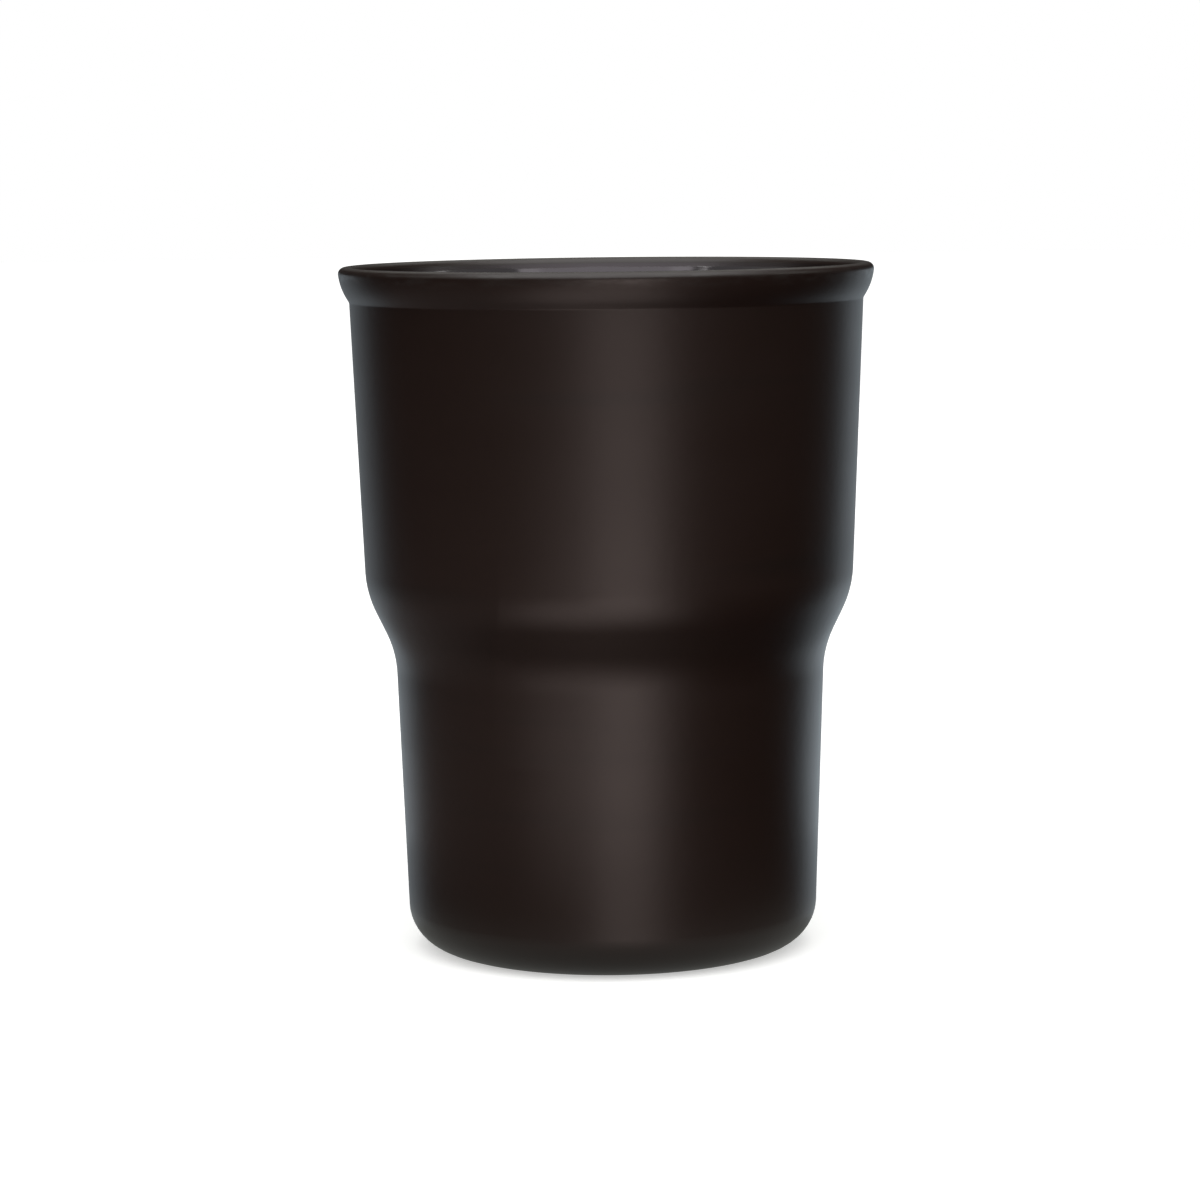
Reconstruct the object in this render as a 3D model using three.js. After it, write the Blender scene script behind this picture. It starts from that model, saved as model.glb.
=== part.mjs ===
// A pressed-glass candle jar with a stacking shoulder and a flared lip, in millimetres, +Z up,
// standing on z = 0 with its axis on the Z axis.
//
// The jar is one glass vessel with a matte lacquer film baked onto its outside. The film runs from
// the ring that the jar stands on, up the wall and over the lip, and thins to nothing at both of
// its edges. It is drawn as a shell of its own, in contact with the glass.

import * as THREE from "three";

// Outside of the finished jar, lacquer included.
const HEIGHT = 102.8;
const MOUTH_RADIUS = 40; // widest point of the lip
const NECK_RADIUS = 38.4; // sharp corner under the lip
const UPPER_WALL_RADIUS = 36.6; // foot of the upper wall, at the shoulder
const LOWER_WALL_RADIUS = 32.3; // head of the lower wall, at the shoulder
const HEEL_RADIUS = 30.7; // foot of the lower wall, before the heel is rounded
const SHOULDER_TOP = 54.1;
const SHOULDER_FOOT = 45.1;
const SHOULDER_TOP_ROUND = 15.5;
const SHOULDER_FOOT_ROUND = 16.2;
const HEEL_ROUND = 6.7;
const LACQUER = 0.05; // thickness of the film

// Lip: a bulging flare over the neck, with a rounded outer edge, a flat crest and a rounded mouth.
const FLARE_ROUND = 10;
const LIP_OUTER_ROUND = 1;
const LIP_UNDERCUT = THREE.MathUtils.degToRad(8.4); // slope of the flare where it meets the lip
const LIP_CREST = 0.5; // width of the flat that a lid rests on
const MOUTH_ROUND = 1.2;

// Inside of the vessel.
const WALL = 3;
const MOUTH_SLOPE = THREE.MathUtils.degToRad(16); // the mouth flares out above the straight wall
const MOUTH_FLARE_ROUND = 12;
const FLOOR_TOP = 7.5;
const FLOOR_WALL = 3.8; // the wall thickens a little towards the floor
const INNER_HEEL_ROUND = 9;

// Underside: a flat ring that the jar stands on, round a shallow push-up.
const STAND_RING_INNER_RADIUS = 20.4;
const PUSH_UP_STEP = 1.1;
const PUSH_UP_ROUND = 0.9;
const PUSH_UP_CENTRE = 1.8;

const TURN_STEPS = 60; // facets round the axis
const FINE_STEPS = 4; // facets along a small round
const WIDE_STEPS = 6; // facets along a large round

const point = (radius, height) => new THREE.Vector2(radius, height);

// Points along an arc about a centre, between two angles from the radius direction.
function arc(centre, radius, fromAngle, toAngle, steps) {
  return Array.from({ length: steps + 1 }, (_, i) => {
    const angle = fromAngle + ((toAngle - fromAngle) * i) / steps;
    return point(centre.x + radius * Math.cos(angle), centre.y + radius * Math.sin(angle));
  });
}

// Points along the round that replaces the corner between two straight lines.
function roundedCorner(before, corner, after, radius, steps) {
  const toBefore = before.clone().sub(corner).normalize();
  const toAfter = after.clone().sub(corner).normalize();
  const halfAngle = Math.acos(toBefore.dot(toAfter)) / 2;
  const bisector = toBefore.clone().add(toAfter).normalize();
  const centre = corner.clone().addScaledVector(bisector, radius / Math.sin(halfAngle));
  const start = corner.clone().addScaledVector(toBefore, radius / Math.tan(halfAngle));
  const fromAngle = start.sub(centre).angle();
  const turn = -Math.sign(toBefore.cross(toAfter)) * (Math.PI - 2 * halfAngle);
  return arc(centre, radius, fromAngle, fromAngle + turn, steps);
}

// A corner moved towards the axis, so that both of the lines that meet there move by one thickness.
function insetCorner(before, corner, after, thickness) {
  const arriving = corner.clone().sub(before).normalize();
  const leaving = after.clone().sub(corner).normalize();
  const inward = point(-arriving.y - leaving.y, arriving.x + leaving.x).normalize();
  const share = inward.dot(point(-arriving.y, arriving.x));
  return corner.clone().addScaledVector(inward, thickness / share);
}

// Centre of the lip's outer round, and of the flare that runs on from it down to the neck.
const lipCentre = point(MOUTH_RADIUS - LIP_OUTER_ROUND, HEIGHT - LIP_OUTER_ROUND);
const flareCentre = point(
  lipCentre.x - (FLARE_ROUND - LIP_OUTER_ROUND) * Math.cos(LIP_UNDERCUT),
  lipCentre.y + (FLARE_ROUND - LIP_OUTER_ROUND) * Math.sin(LIP_UNDERCUT),
);
const neckAngle = -Math.acos((NECK_RADIUS - flareCentre.x) / FLARE_ROUND);

// Corners of the outside before they are rounded, from the base to the lip.
const baseCentre = point(0, 0);
const heel = point(HEEL_RADIUS, 0);
const shoulderFoot = point(LOWER_WALL_RADIUS, SHOULDER_FOOT);
const shoulderTop = point(UPPER_WALL_RADIUS, SHOULDER_TOP);
const neck = point(NECK_RADIUS, flareCentre.y + FLARE_ROUND * Math.sin(neckAngle));

// Outer face of the lacquer, from the stand ring up the outside and over the lip.
function lacquerOutline() {
  const mouthCentre = point(lipCentre.x - LIP_CREST, HEIGHT - MOUTH_ROUND);
  return [
    ...roundedCorner(baseCentre, heel, shoulderFoot, HEEL_ROUND, WIDE_STEPS),
    ...roundedCorner(heel, shoulderFoot, shoulderTop, SHOULDER_FOOT_ROUND, FINE_STEPS),
    ...roundedCorner(shoulderFoot, shoulderTop, neck, SHOULDER_TOP_ROUND, FINE_STEPS),
    ...arc(flareCentre, FLARE_ROUND, neckAngle, -LIP_UNDERCUT, FINE_STEPS).slice(0, -1),
    ...arc(lipCentre, LIP_OUTER_ROUND, -LIP_UNDERCUT, Math.PI / 2, FINE_STEPS),
    ...arc(mouthCentre, MOUTH_ROUND, Math.PI / 2, Math.PI - MOUTH_SLOPE, FINE_STEPS),
  ];
}

// The same line on the glass, one film thickness further in. Its two ends stay where they are,
// because the film has thinned to nothing there.
function glassOutline(lacquer) {
  const covered = lacquer.slice(1, -1);
  return [
    lacquer.at(0),
    ...covered.map((corner, i) => insetCorner(lacquer[i], corner, lacquer[i + 2], LACQUER)),
    lacquer.at(-1),
  ];
}

// Inside of the vessel, from the mouth down to the centre of the floor.
function cavityOutline(mouth) {
  const wallTopRadius = NECK_RADIUS - WALL;
  const mouthDepth = (mouth.x - wallTopRadius) / Math.tan(MOUTH_SLOPE);
  const topOfWall = point(wallTopRadius, mouth.y - mouthDepth);
  const innerTop = insetCorner(shoulderFoot, shoulderTop, neck, WALL);
  const innerFoot = insetCorner(heel, shoulderFoot, shoulderTop, WALL);
  const floorEdge = point(HEEL_RADIUS - FLOOR_WALL, FLOOR_TOP);
  const floorCentre = point(0, FLOOR_TOP);
  const topRound = SHOULDER_TOP_ROUND - WALL;
  const footRound = SHOULDER_FOOT_ROUND + WALL;
  return [
    ...roundedCorner(mouth, topOfWall, innerTop, MOUTH_FLARE_ROUND, FINE_STEPS),
    ...roundedCorner(topOfWall, innerTop, innerFoot, topRound, FINE_STEPS),
    ...roundedCorner(innerTop, innerFoot, floorEdge, footRound, FINE_STEPS),
    ...roundedCorner(innerFoot, floorEdge, floorCentre, INNER_HEEL_ROUND, WIDE_STEPS),
    floorCentre,
  ];
}

// Underside, from the centre of the push-up out to the inner edge of the stand ring.
function undersideOutline() {
  const pushUpCentre = point(0, PUSH_UP_CENTRE);
  const pushUpEdge = point(STAND_RING_INNER_RADIUS - PUSH_UP_STEP, PUSH_UP_STEP);
  const ringEdge = point(STAND_RING_INNER_RADIUS, 0);
  return [
    pushUpCentre,
    ...roundedCorner(pushUpCentre, pushUpEdge, ringEdge, PUSH_UP_ROUND, FINE_STEPS),
    ringEdge,
  ];
}

// A sub-part from an outline turned about the Z axis.
function turned(name, outline, material) {
  const geometry = new THREE.LatheGeometry(outline, TURN_STEPS);
  geometry.rotateX(Math.PI / 2);
  const mesh = new THREE.Mesh(geometry, material);
  mesh.name = name;
  return mesh;
}

const lacquer = lacquerOutline();
const glass = glassOutline(lacquer);

const glassBody = turned(
  "glass_body",
  [...undersideOutline(), ...glass, ...cavityOutline(glass.at(-1))],
  new THREE.MeshStandardMaterial({ color: 0x17131a, roughness: 0.08, metalness: 0 }),
);

// The outline of the film goes up its outer face and back down the glass, and closes on itself.
const lacquerCoat = turned(
  "lacquer_coat",
  [...lacquer, ...glass.slice(0, -1).reverse()],
  new THREE.MeshStandardMaterial({ color: 0x1a1211, roughness: 0.42, metalness: 0 }),
);

const jar = new THREE.Group();
jar.add(glassBody, lacquerCoat);

export default jar;
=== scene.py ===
import math

import bpy
from mathutils import Matrix, Vector


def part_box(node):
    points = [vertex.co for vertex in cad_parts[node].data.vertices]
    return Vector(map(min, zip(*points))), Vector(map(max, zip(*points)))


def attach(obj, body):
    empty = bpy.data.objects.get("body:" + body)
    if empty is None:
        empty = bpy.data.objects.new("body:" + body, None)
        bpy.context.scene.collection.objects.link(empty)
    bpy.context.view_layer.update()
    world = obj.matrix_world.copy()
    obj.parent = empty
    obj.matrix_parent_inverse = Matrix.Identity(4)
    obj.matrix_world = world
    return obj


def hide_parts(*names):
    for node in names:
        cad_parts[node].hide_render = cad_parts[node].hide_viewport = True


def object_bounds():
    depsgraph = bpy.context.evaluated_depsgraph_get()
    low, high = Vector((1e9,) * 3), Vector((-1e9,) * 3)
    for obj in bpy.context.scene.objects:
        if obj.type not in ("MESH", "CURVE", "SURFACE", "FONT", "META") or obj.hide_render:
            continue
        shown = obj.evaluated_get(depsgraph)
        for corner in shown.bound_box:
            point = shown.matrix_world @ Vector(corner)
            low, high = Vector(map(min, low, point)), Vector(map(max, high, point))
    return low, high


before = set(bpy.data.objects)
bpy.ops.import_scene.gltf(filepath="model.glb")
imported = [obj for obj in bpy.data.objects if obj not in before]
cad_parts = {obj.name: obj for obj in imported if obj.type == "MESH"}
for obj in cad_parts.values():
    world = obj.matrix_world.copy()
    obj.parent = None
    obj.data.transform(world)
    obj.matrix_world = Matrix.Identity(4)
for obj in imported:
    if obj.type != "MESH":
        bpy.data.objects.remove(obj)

cad_low, cad_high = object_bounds()
MM = 0.001


# ---------------------------------------------------------------------------------------------
# Studio. The jar stands on a plain pale table in front of a white wall. A wide soft light hangs
# overhead, a warm strip stands low in front, and softer panels stand behind it and at its sides.
# What the table would throw back at the jar comes from flat lights that lie just above it.
# ---------------------------------------------------------------------------------------------

CAMERA_DISTANCE = 0.5651
CAMERA_HEIGHT = 0.1187
CAMERA_LENS = 113.07
CAMERA_DIP = math.radians(6.705)
CAMERA_TURN = math.radians(-0.146)
CAMERA_ROLL = math.radians(-0.65)

camera = bpy.data.objects.new("camera", bpy.data.cameras.new("camera"))
camera.data.lens = CAMERA_LENS
camera.matrix_world = (
    Matrix.Translation((0, -CAMERA_DISTANCE, CAMERA_HEIGHT))
    @ Matrix.Rotation(-CAMERA_TURN, 4, "Z")
    @ Matrix.Rotation(math.pi / 2 - CAMERA_DIP, 4, "X")
    @ Matrix.Rotation(CAMERA_ROLL, 4, "Z")
)
bpy.context.scene.collection.objects.link(camera)
bpy.context.scene.camera = camera
bpy.context.scene.view_settings.view_transform = "Standard"


class Nodes:
    """Adds nodes to a node tree: the values or links of a node's inputs, then its settings."""

    def __init__(self, tree):
        self.tree = tree

    def add(self, kind, inputs=None, output=0, **settings):
        node = self.tree.nodes.new(kind)
        for name, value in settings.items():
            setattr(node, name, value)
        for name, value in (inputs or {}).items():
            self.fill(node.inputs[name], value)
        return Socket(self, node.outputs[output]) if node.outputs else node

    def fill(self, socket, value):
        if isinstance(value, Socket):
            self.tree.links.new(value.socket, socket)
        else:
            socket.default_value = value


class Socket:
    """A node's output that can be used in sums. Each sum adds a Math node."""

    def __init__(self, nodes, socket):
        self.nodes = nodes
        self.socket = socket

    def maths(self, operation, *values):
        return self.nodes.add("ShaderNodeMath", dict(enumerate(values)), operation=operation)

    def __add__(self, other):
        return self.maths("ADD", self, other)

    def __radd__(self, other):
        return self.maths("ADD", other, self)

    def __sub__(self, other):
        return self.maths("SUBTRACT", self, other)

    def __rsub__(self, other):
        return self.maths("SUBTRACT", other, self)

    def __mul__(self, other):
        return self.maths("MULTIPLY", self, other)

    def __rmul__(self, other):
        return self.maths("MULTIPLY", other, self)

    def __lt__(self, other):
        return self.maths("LESS_THAN", self, other)

    def sibling(self, name):
        """Another output of the same node."""
        return Socket(self.nodes, self.socket.node.outputs[name])


def soft_light(name, shape, place, rotation, width, height, radiance, colour):
    """A flat glowing panel of the given radiance, which the camera doesn't see."""
    panel = bpy.data.lights.new(name, "AREA")
    panel.shape = shape
    panel.size = width
    panel.size_y = height
    share_of_rectangle = math.pi / 4 if shape == "ELLIPSE" else 1
    panel.energy = radiance * math.pi * width * height * share_of_rectangle
    panel.color = colour
    lamp = bpy.data.objects.new(name, panel)
    lamp.location = place
    lamp.rotation_euler = rotation
    lamp.visible_camera = False
    bpy.context.scene.collection.objects.link(lamp)


WARM = (1.0, 0.83, 0.78)
COOL = (0.81, 0.92, 1.0)
NEUTRAL = (0.96, 1.0, 0.94)
JAR_MIDDLE = (cad_low + cad_high) / 2
PANEL_DISTANCE = 1.2
GLOW_GAP = 0.1 * MM
OVERHEAD_STRENGTH = 3.9
OVERHEAD_SPREAD = math.radians(90)
OVERHEAD_TILT = math.radians(24)


def around_jar(azimuth, elevation):
    """A panel's place seen from the jar. Azimuth 0 is the camera's side, 90 is its right."""
    turn = math.radians(azimuth)
    rise = math.radians(elevation)
    level = math.cos(rise)
    away = Vector((math.sin(turn) * level, -math.cos(turn) * level, math.sin(rise)))
    return JAR_MIDDLE + away * PANEL_DISTANCE


# Panels round the jar: azimuth and elevation in degrees, width and height in metres.
for name, azimuth, elevation, width, height, radiance, colour in (
    ("front strip", 8, -12.5, 0.62, 0.4, 2.3, WARM),
    ("back left", -154, -8, 0.85, 0.5, 0.55, COOL),
    ("back right", 153, -7, 0.9, 0.5, 0.8, COOL),
    ("high back", 180, 50, 1.2, 0.7, 1.0, NEUTRAL),
    ("high left", -70, 31, 1.4, 0.36, 0.75, NEUTRAL),
    ("high right", 70, 31, 1.4, 0.36, 0.75, NEUTRAL),
    ("left lamp", -52, 30, 0.09, 0.09, 9, NEUTRAL),
    ("right lamp", 91, 24, 0.09, 0.09, 9, NEUTRAL),
):
    place = around_jar(azimuth, elevation)
    rotation = (place - JAR_MIDDLE).to_track_quat("Z", "Y").to_euler()
    soft_light(name, "RECTANGLE", place, rotation, width, height, radiance, colour)

# Glows on the table: azimuth in degrees, distances from the jar's axis and width in metres.
for name, shape, azimuth, near_edge, far_edge, width, radiance, colour in (
    ("table glow", "RECTANGLE", -7, 0.093, 0.2, 0.15, 1.45, WARM),
    ("left table glow", "RECTANGLE", -80, 0.07, 0.3, 0.25, 0.2, WARM),
    ("back left table glow", "RECTANGLE", -146, 0.09, 0.3, 0.18, 0.48, COOL),
    ("back right table glow", "RECTANGLE", 147, 0.09, 0.3, 0.18, 0.55, COOL),
    ("light under the jar", "ELLIPSE", 0, -0.046, 0.046, 0.092, 0.34, NEUTRAL),
):
    reach = (near_edge + far_edge) / 2
    turn = math.radians(azimuth)
    place = Vector((reach * math.sin(turn), -reach * math.cos(turn), cad_low.z + GLOW_GAP))
    rotation = (math.pi, 0, turn)
    soft_light(name, shape, place, rotation, width, far_edge - near_edge, radiance, colour)

overhead = bpy.data.objects.new("overhead", bpy.data.lights.new("overhead", "SUN"))
overhead.data.energy = OVERHEAD_STRENGTH
overhead.data.angle = OVERHEAD_SPREAD
overhead.rotation_euler = (OVERHEAD_TILT, 0, 0)
bpy.context.scene.collection.objects.link(overhead)

WALL_WHITE = 1.0
STUDIO_FILL = 0.02

world = bpy.data.worlds.new("studio")
world.use_nodes = True
world.node_tree.nodes.clear()
room = Nodes(world.node_tree)
seen = room.add("ShaderNodeLightPath", output="Is Camera Ray")
brightness = STUDIO_FILL + seen * (WALL_WHITE - STUDIO_FILL)
backdrop = room.add("ShaderNodeBackground", {"Color": (1, 1, 1, 1), "Strength": brightness})
room.add("ShaderNodeOutputWorld", {"Surface": backdrop})
bpy.context.scene.world = world


class Surface(Nodes):
    """The node tree of a material, and patterns of real size that lie fixed in the piece."""

    def __init__(self, name):
        self.material = bpy.data.materials.new(name)
        self.material.use_nodes = True
        self.material.node_tree.nodes.clear()
        super().__init__(self.material.node_tree)
        self.place = self.add("ShaderNodeTexCoord", output="Object")

    def noise(self, size, detail=2, stretch=(1, 1, 1)):
        """Clouds from 0 to 1 of a real size, and longer than that along a stretched axis."""
        place = self.add("ShaderNodeVectorMath", {0: self.place, 1: stretch}, operation="DIVIDE")
        return self.add(
            "ShaderNodeTexNoise", {"Vector": place, "Scale": 1 / size, "Detail": detail}
        )

    def ramp(self, value, start, end):
        """0 before the start, 1 after the end, and an even curve between them."""
        return self.add(
            "ShaderNodeMapRange",
            {"Value": value, "From Min": start, "From Max": end},
            interpolation_type="SMOOTHSTEP",
        )

    def blend(self, first, second, amount):
        """One colour laid over another by an amount from 0 to 1."""
        return self.add(
            "ShaderNodeMix", {0: amount, 6: first, 7: second}, output=2, data_type="RGBA"
        )

    def finish(self, colour, roughness, relief, **constants):
        """A plastic, glass or paint surface, with its relief given as a height in metres."""
        bump = self.add("ShaderNodeBump", {"Height": relief, "Distance": 1.0})
        inputs = {"Base Color": colour, "Roughness": roughness, "Normal": bump, **constants}
        shader = self.add("ShaderNodeBsdfPrincipled", inputs)
        self.add("ShaderNodeOutputMaterial", {"Surface": shader})
        return self.material


TABLE_RADIUS = 4
TABLE_SIDES = 96
TABLE_GLOW = 0.5


def white_laminate():
    """Satin white table top, lit from below like a product table, with a faint printed grain."""
    surface = Surface("white laminate")
    clouds = surface.noise(60 * MM, detail=4)
    pores = surface.noise(1.5 * MM, detail=3)
    grain = surface.ramp(clouds + pores, 0.6, 1.4)
    plain_white = (0.7, 0.7, 0.69, 1)
    printed_white = (0.74, 0.74, 0.735, 1)
    return surface.finish(
        surface.blend(plain_white, printed_white, grain),
        0.45 + 0.1 * pores,
        0.01 * MM * pores,
        **{"Emission Color": (1, 1, 0.99, 1), "Emission Strength": TABLE_GLOW},
    )


def table_top():
    """A round table top at the height of the jar's stand ring."""
    mesh = bpy.data.meshes.new("table")
    angles = [math.tau * i / TABLE_SIDES for i in range(TABLE_SIDES)]
    rim = [(TABLE_RADIUS * math.cos(a), TABLE_RADIUS * math.sin(a), cad_low.z) for a in angles]
    mesh.from_pydata(rim, [], [range(TABLE_SIDES)])
    return bpy.data.objects.new("table", mesh)


table = table_top()
table.data.materials.append(white_laminate())
table.visible_glossy = False
table.visible_diffuse = False
table.visible_shadow = False
bpy.context.scene.collection.objects.link(table)


# ---------------------------------------------------------------------------------------------
# Glass body. One gob of clear glass, pressed in a mould and fire-polished: a flared lip, a wall
# with a stacking shoulder, a thick floor, and a stand ring round a shallow push-up. The lacquer
# behind it makes it look black from the inside.
# ---------------------------------------------------------------------------------------------

highest_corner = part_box("lacquer_coat")[1]
MOUTH_RADIUS = highest_corner.x
HEIGHT = highest_corner.z

NECK_RADIUS = MOUTH_RADIUS - 1.6 * MM
NECK_DROP = 5.26 * MM
FLARE_DROP = 3.07 * MM
FLARE_BACK = 0.29 * MM
MOUTH_EDGE = MOUTH_RADIUS - 2.66 * MM
MOUTH_SLOPE = math.tan(math.radians(16))
FILM_DEPTH = 0.9 * MM
MOUTH_FLARE_ROUND = 12 * MM
WALL = 3 * MM
LACQUER = 0.05 * MM

STAND_OUTSIDE = 24.2 * MM
STAND_INSIDE = 20.4 * MM
PUSH_UP_EDGE = 19.3 * MM
PUSH_UP_RISE = 1.8 * MM
FLOOR_HEIGHT = 7.5 * MM
FLOOR_EDGE = 26.9 * MM
FLOOR_ROUND = 9 * MM

ROUND_STEPS = 12
TURN_STEPS = 240
SHARP_FOLD = math.radians(35)
HUB_RADIUS = 1 * MM
SEAM = 0.001 * MM

# Corners of the finished outside, from the stand ring to the mouth: name, radius, height, round.
OUTSIDE = [
    ("stand edge", STAND_OUTSIDE, 0, 0),
    ("heel", 30.7 * MM, 0, 6.7 * MM),
    ("shoulder foot", 32.3 * MM, 45.1 * MM, 16.2 * MM),
    ("shoulder top", 36.6 * MM, 54.1 * MM, 15.5 * MM),
    ("neck", NECK_RADIUS, HEIGHT - NECK_DROP, 0.6 * MM),
    ("flare", MOUTH_RADIUS - FLARE_BACK, HEIGHT - FLARE_DROP, 9 * MM),
    ("lip", MOUTH_RADIUS + 0.14 * MM, HEIGHT, 1 * MM),
    ("mouth", MOUTH_EDGE + FILM_DEPTH * MOUTH_SLOPE, HEIGHT, 1.2 * MM),
    ("mouth edge", MOUTH_EDGE, HEIGHT - FILM_DEPTH, 0),
]


def inset(corners, thickness):
    """The same corners moved in from the surface, with their rounds kept about the same centres."""
    moved = []
    for before, corner, after in zip(corners, corners[1:], corners[2:]):
        name, radius, height, rounding = corner
        arriving = Vector((radius - before[1], height - before[2])).normalized()
        leaving = Vector((after[1] - radius, after[2] - height)).normalized()
        inward = Vector((-arriving.y - leaving.y, arriving.x + leaving.x)).normalized()
        shift = inward * thickness / inward.dot(Vector((-arriving.y, arriving.x)))
        bulges_out = arriving.cross(leaving) > 0
        rounding += -thickness if bulges_out else thickness
        moved.append((name, radius + shift.x, height + shift.y, rounding))
    return moved


def turned(name, corners, material, closed):
    """A mesh turned about the Z axis from rounded corners, each of them an input of its tree."""
    tree = bpy.data.node_groups.new(f"turn {name}", "GeometryNodeTree")
    nodes = Nodes(tree)
    tree.interface.new_socket("Geometry", in_out="OUTPUT", socket_type="NodeSocketGeometry")
    values = {}

    def entry(label, kind, value):
        """A named input of the tree, and the value that it gets on the finished piece."""
        socket = tree.interface.new_socket(label, in_out="INPUT", socket_type=kind)
        values[socket.identifier] = value

    for corner, radius, height, rounding in corners:
        entry(f"{corner} place", "NodeSocketVector", (radius, 0, height))
        entry(f"{corner} round", "NodeSocketFloat", rounding)
    entry("Steps round", "NodeSocketInt", TURN_STEPS)
    entry("Steps in a round", "NodeSocketInt", ROUND_STEPS)
    entry("Hub radius", "NodeSocketFloat", HUB_RADIUS)
    entry("Sharp fold", "NodeSocketFloat", SHARP_FOLD)
    entry("Seam", "NodeSocketFloat", SEAM)
    entry("Material", "NodeSocketMaterial", material)
    group_input = tree.nodes.new("NodeGroupInput")

    def given(label):
        """What the tree's input of that name holds."""
        return Socket(nodes, group_input.outputs[label])

    def by_corner(kind, label):
        """The value that belongs to the outline's point with the same number."""
        switch = tree.nodes.new("GeometryNodeIndexSwitch")
        switch.data_type = kind
        # The switch starts with two items, so it needs one more for each further corner.
        for _ in corners[2:]:
            switch.index_switch_items.new()
        nodes.fill(switch.inputs["Index"], nodes.add("GeometryNodeInputIndex"))
        for number, corner in enumerate(corners):
            nodes.fill(switch.inputs[1 + number], given(f"{corner[0]} {label}"))
        return Socket(nodes, switch.outputs[0])

    # The outline is drawn as seen from the hub, a tiny circle that carries it round the axis.
    hub = given("Hub radius")
    radius = nodes.add("ShaderNodeSeparateXYZ", {0: by_corner("VECTOR", "place")}, output="X")
    height = radius.sibling("Z")
    on_page = nodes.add("ShaderNodeCombineXYZ", {"X": radius - hub, "Y": 0 - height})
    line = nodes.add("GeometryNodeCurvePrimitiveLine")
    line = nodes.add("GeometryNodeResampleCurve", {"Curve": line, "Count": len(corners)})
    line = nodes.add("GeometryNodeSetPosition", {"Geometry": line, "Position": on_page})
    line = nodes.add("GeometryNodeSetSplineCyclic", {"Geometry": line, "Cyclic": closed})
    line = nodes.add(
        "GeometryNodeFilletCurve",
        {
            "Curve": line,
            "Count": given("Steps in a round"),
            "Radius": by_corner("FLOAT", "round"),
        },
        mode="POLY",
    )
    ring = nodes.add(
        "GeometryNodeCurvePrimitiveCircle", {"Resolution": given("Steps round"), "Radius": hub}
    )
    skin = nodes.add("GeometryNodeCurveToMesh", {"Curve": ring, "Profile Curve": line})
    skin = nodes.add("GeometryNodeFlipFaces", {"Mesh": skin})
    skin = nodes.add("GeometryNodeMergeByDistance", {"Geometry": skin, "Distance": given("Seam")})

    # The turned skin is smooth, apart from sharp folds such as the edge of the film.
    skin = nodes.add("GeometryNodeSetShadeSmooth", {"Geometry": skin})
    fold = nodes.add("GeometryNodeInputMeshEdgeAngle")
    sharp = nodes.add("FunctionNodeCompare", {0: fold, 1: given("Sharp fold")})
    skin = nodes.add(
        "GeometryNodeSetShadeSmooth",
        {"Geometry": skin, "Selection": sharp, "Shade Smooth": False},
        domain="EDGE",
    )
    skin = nodes.add("GeometryNodeRealizeInstances", {"Geometry": skin})
    skin = nodes.add(
        "GeometryNodeSetMaterial", {"Geometry": skin, "Material": given("Material")}
    )
    nodes.add("NodeGroupOutput", {"Geometry": skin})
    return grown(name, tree, values)


def grown(name, tree, values):
    """A plain mesh object from a geometry tree with the given values of its inputs."""
    piece = bpy.data.objects.new(name, bpy.data.meshes.new(name))
    bpy.context.scene.collection.objects.link(piece)
    modifier = piece.modifiers.new(tree.name, "NODES")
    modifier.node_group = tree
    for identifier, value in values.items():
        modifier[identifier] = value
    evaluated = piece.evaluated_get(bpy.context.evaluated_depsgraph_get())
    mesh = bpy.data.meshes.new_from_object(evaluated)
    piece.modifiers.clear()
    piece.data = mesh
    return piece


def radius_from_axis(surface):
    """Distance from the jar's axis at each place of a surface."""
    across = surface.add(
        "ShaderNodeVectorMath", {0: surface.place, 1: (1, 1, 0)}, operation="MULTIPLY"
    )
    return surface.add("ShaderNodeVectorMath", {0: across}, output="Value", operation="LENGTH")


def height_up_axis(surface):
    """Height above the table at each place of a surface."""
    return surface.add("ShaderNodeSeparateXYZ", {"Vector": surface.place}, output="Z")


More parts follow.
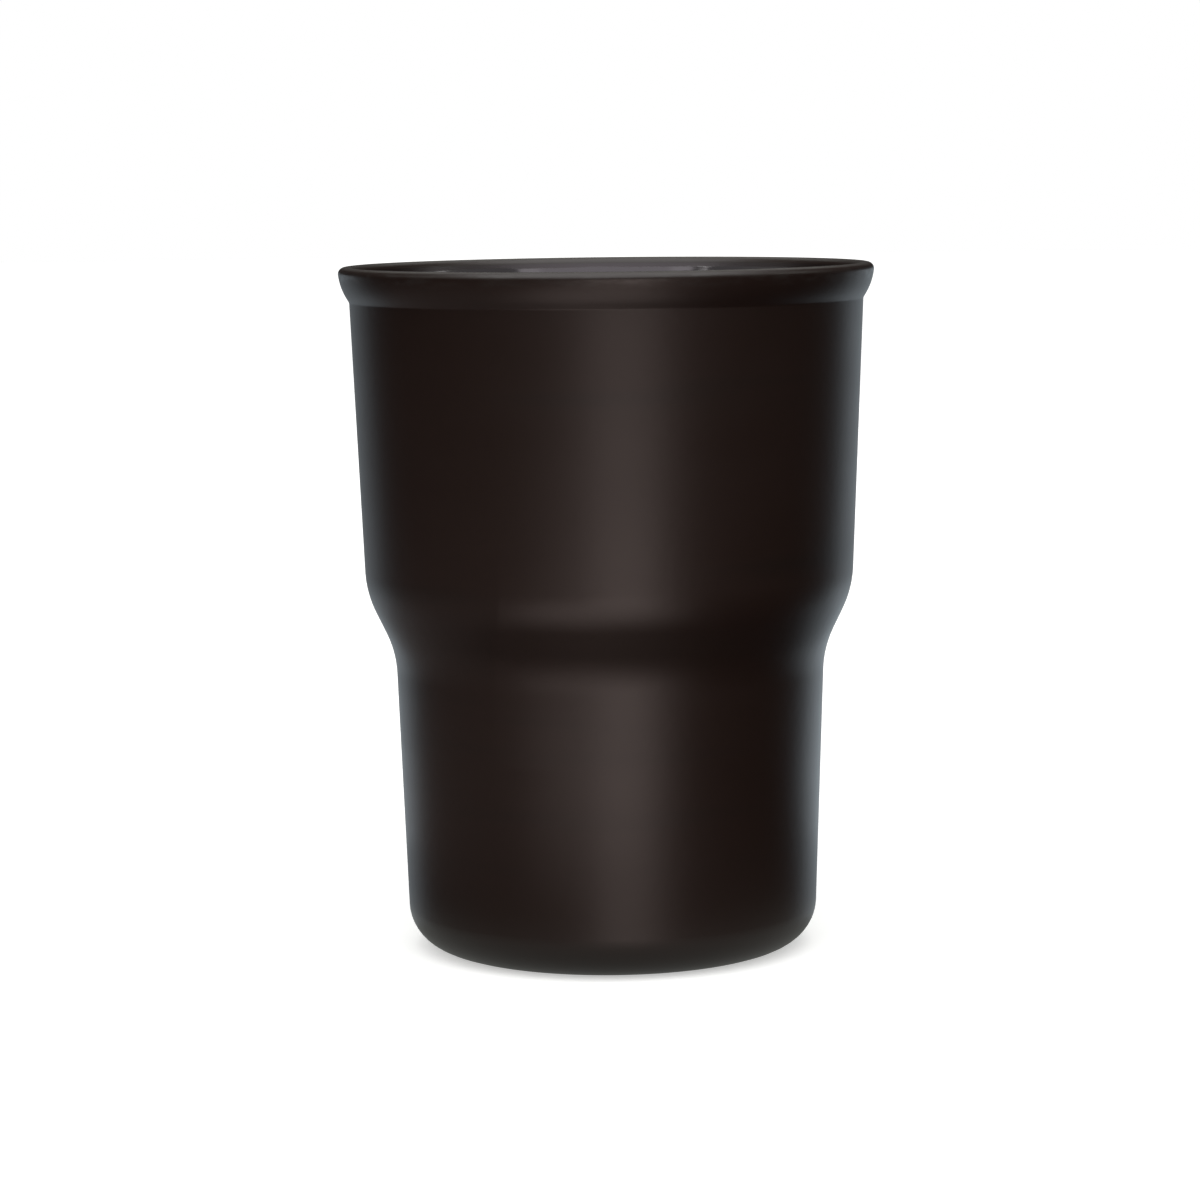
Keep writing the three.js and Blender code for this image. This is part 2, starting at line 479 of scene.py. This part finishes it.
def black_backed_glass():
    """Fire-polished pressed glass with black lacquer behind it, misted with it near its edges."""
    surface = Surface("black backed glass")
    radius = radius_from_axis(surface)
    height = height_up_axis(surface)

    # Uneven cooling leaves slow waves, and the plunger leaves faint upright drag lines.
    waves = surface.noise(11 * MM, detail=1)
    drag = surface.noise(1.4 * MM, detail=2, stretch=(1, 1, 20))
    chill_rings = surface.noise(2.2 * MM, detail=2, stretch=(9, 9, 1))
    relief = 0.02 * MM * waves + 0.002 * MM * drag + 0.002 * MM * chill_rings

    # Seeds are gas bubbles of under half a millimetre, caught just under the surface.
    cells = surface.add(
        "ShaderNodeTexVoronoi", {"Vector": surface.place, "Scale": 1 / (4 * MM)}
    )
    chosen = surface.add("ShaderNodeSeparateColor", {"Color": cells.sibling("Color")})
    seeds = surface.ramp(cells, 0.07, 0.03) * (chosen < 0.06)

    # Lacquer mist settles over the first millimetre inside the mouth, and on the stand ring.
    speckle = surface.noise(0.35 * MM, detail=2)
    edge_wander = surface.noise(9 * MM, detail=1)
    film_edge = HEIGHT - FILM_DEPTH
    mouth_mist = surface.ramp(height + 0.6 * MM * edge_wander, film_edge - 0.7 * MM, film_edge)
    ring_mist = surface.ramp(radius, 18 * MM, STAND_OUTSIDE) * surface.ramp(height, 1.5 * MM, 0)
    mist = surface.ramp(mouth_mist + ring_mist + 0.5 * speckle, 0.45, 1.15)

    # The ring that the jar stands on is scuffed to a grey matte by tables and other jars.
    scuffs = surface.noise(0.5 * MM, detail=4, stretch=(4, 1, 1))
    scuffed = surface.ramp(height, 0.25 * MM, 0.05 * MM) * surface.ramp(scuffs, 0.42, 0.62)

    # Dust gathers on the floor of the vessel and in the round at its edge.
    below_the_wall = surface.ramp(height, FLOOR_HEIGHT + 3.5 * MM, FLOOR_HEIGHT + 0.1 * MM)
    above_the_underside = surface.ramp(height, PUSH_UP_RISE + 0.2 * MM, FLOOR_HEIGHT - 0.5 * MM)
    lint = surface.ramp(surface.noise(0.5 * MM, detail=4), 0.5, 0.75)
    dust = below_the_wall * above_the_underside * lint

    plum_black = (0.0105, 0.008, 0.0098, 1)
    light_plum_black = (0.0135, 0.0102, 0.0122, 1)
    seed_grey = (0.035, 0.033, 0.036, 1)
    mist_brown = (0.0085, 0.0045, 0.0036, 1)
    dust_grey = (0.05, 0.047, 0.044, 1)
    tint = surface.blend(plum_black, light_plum_black, waves)
    tint = surface.blend(tint, seed_grey, seeds)
    tint = surface.blend(tint, mist_brown, mist)
    tint = surface.blend(tint, dust_grey, 0.35 * dust + 0.6 * scuffed)

    # Hands and cloths leave smears, and mist, dust and scuffs dull the polish.
    smears = surface.noise(14 * MM, detail=3)
    roughness = 0.05 + 0.06 * smears + 0.27 * mist + 0.05 * dust + 0.2 * scuffed
    relief = relief - 0.006 * MM * seeds + 0.004 * MM * mist * speckle - 0.004 * MM * scuffed
    return surface.finish(
        tint, roughness, relief, **{"IOR": 1.52, "Specular Tint": (1, 0.92, 0.99, 1)}
    )


glass_outside = inset(OUTSIDE, LACQUER)
UNDERSIDE = [
    ("push-up centre", 0, PUSH_UP_RISE, 0),
    ("push-up edge", PUSH_UP_EDGE, 1.1 * MM, 0.9 * MM),
    ("stand ring inner edge", STAND_INSIDE, 0, 0.2 * MM),
    ("stand ring outer edge", STAND_OUTSIDE, 0, 0),
    ("lacquer's lower edge", STAND_OUTSIDE, LACQUER, 0),
]
inside_wall = inset(OUTSIDE[1:5], WALL)
wall_top_radius = NECK_RADIUS - WALL
wall_top = HEIGHT - FILM_DEPTH - (MOUTH_EDGE - wall_top_radius) / MOUTH_SLOPE
CAVITY = [
    ("glass mouth edge", MOUTH_EDGE, HEIGHT - FILM_DEPTH, 0),
    ("top of the wall", wall_top_radius, wall_top, MOUTH_FLARE_ROUND),
    *reversed([("inner " + name, *rest) for name, *rest in inside_wall]),
    ("floor edge", FLOOR_EDGE, FLOOR_HEIGHT, FLOOR_ROUND),
    ("floor centre", 0, FLOOR_HEIGHT, 0),
]
glass_body = turned(
    "pressed_glass_body",
    [*UNDERSIDE, *glass_outside, *CAVITY],
    black_backed_glass(),
    closed=False,
)
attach(glass_body, "root")
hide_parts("glass_body")


# ---------------------------------------------------------------------------------------------
# Lacquer coat. Warm black matte lacquer, sprayed on while the jar turns mouth down and then
# baked. It covers the outside from the stand ring up, and the lip.
# ---------------------------------------------------------------------------------------------


def baked_lacquer():
    """Sprayed matte lacquer: orange peel, matting grain, dust nibs, and burnish where it rubs."""
    surface = Surface("baked lacquer")
    radius = radius_from_axis(surface)
    height = height_up_axis(surface)

    # Orange peel from the spray, over the slow waves of the glass and a matting powder's grain.
    waves = surface.noise(16 * MM, detail=1)
    peel = surface.noise(1.6 * MM, detail=1)
    grain = surface.noise(0.16 * MM, detail=2)
    relief = 0.05 * MM * waves + 0.012 * MM * peel + 0.001 * MM * grain

    # A few dust nibs of a quarter of a millimetre are baked in.
    cells = surface.add(
        "ShaderNodeTexVoronoi", {"Vector": surface.place, "Scale": 1 / (3.5 * MM)}
    )
    chosen = surface.add("ShaderNodeSeparateColor", {"Color": cells.sibling("Color")})
    nibs = surface.ramp(cells, 0.05, 0.015) * (chosen < 0.05)

    # The jar is turned as it is sprayed, so the film's thickness varies in level bands.
    bands = surface.noise(7 * MM, detail=2, stretch=(12, 12, 1))
    clouds = surface.noise(22 * MM, detail=4)

    # Jars rub against each other at the widest places, and against the table at the heel.
    scuffs = surface.noise(1.2 * MM, detail=4, stretch=(3, 3, 1))
    lip_rub = surface.ramp(radius, MOUTH_RADIUS - 0.35 * MM, MOUTH_RADIUS)
    crest_rub = surface.ramp(height, HEIGHT - 0.12 * MM, HEIGHT)
    stand_rub = surface.ramp(height, 0.8 * MM, 0)
    rubbed = (lip_rub + crest_rub + stand_rub) * surface.ramp(scuffs, 0.4, 0.7)

    warm_black = (0.0098, 0.004, 0.0024, 1)
    light_warm_black = (0.0118, 0.0048, 0.0032, 1)
    thick_film_black = (0.0082, 0.0035, 0.0022, 1)
    rubbed_grey = (0.03, 0.026, 0.024, 1)
    nib_brown = (0.02, 0.016, 0.014, 1)
    colour = surface.blend(warm_black, light_warm_black, clouds)
    colour = surface.blend(colour, thick_film_black, surface.ramp(bands, 0.55, 0.75))
    colour = surface.blend(colour, rubbed_grey, 0.5 * rubbed)
    colour = surface.blend(colour, nib_brown, nibs)
    roughness = 0.34 + 0.06 * clouds + 0.04 * bands + 0.04 * grain - 0.08 * rubbed
    return surface.finish(colour, roughness, relief + 0.02 * MM * nibs, IOR=1.5)


film_inside = [("under " + name, *rest) for name, *rest in reversed(glass_outside)]
lacquer_coat = turned(
    "baked_lacquer_coat",
    [*OUTSIDE, *film_inside, ("film's lower edge", STAND_OUTSIDE, LACQUER, 0)],
    baked_lacquer(),
    closed=True,
)
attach(lacquer_coat, "root")
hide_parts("lacquer_coat")
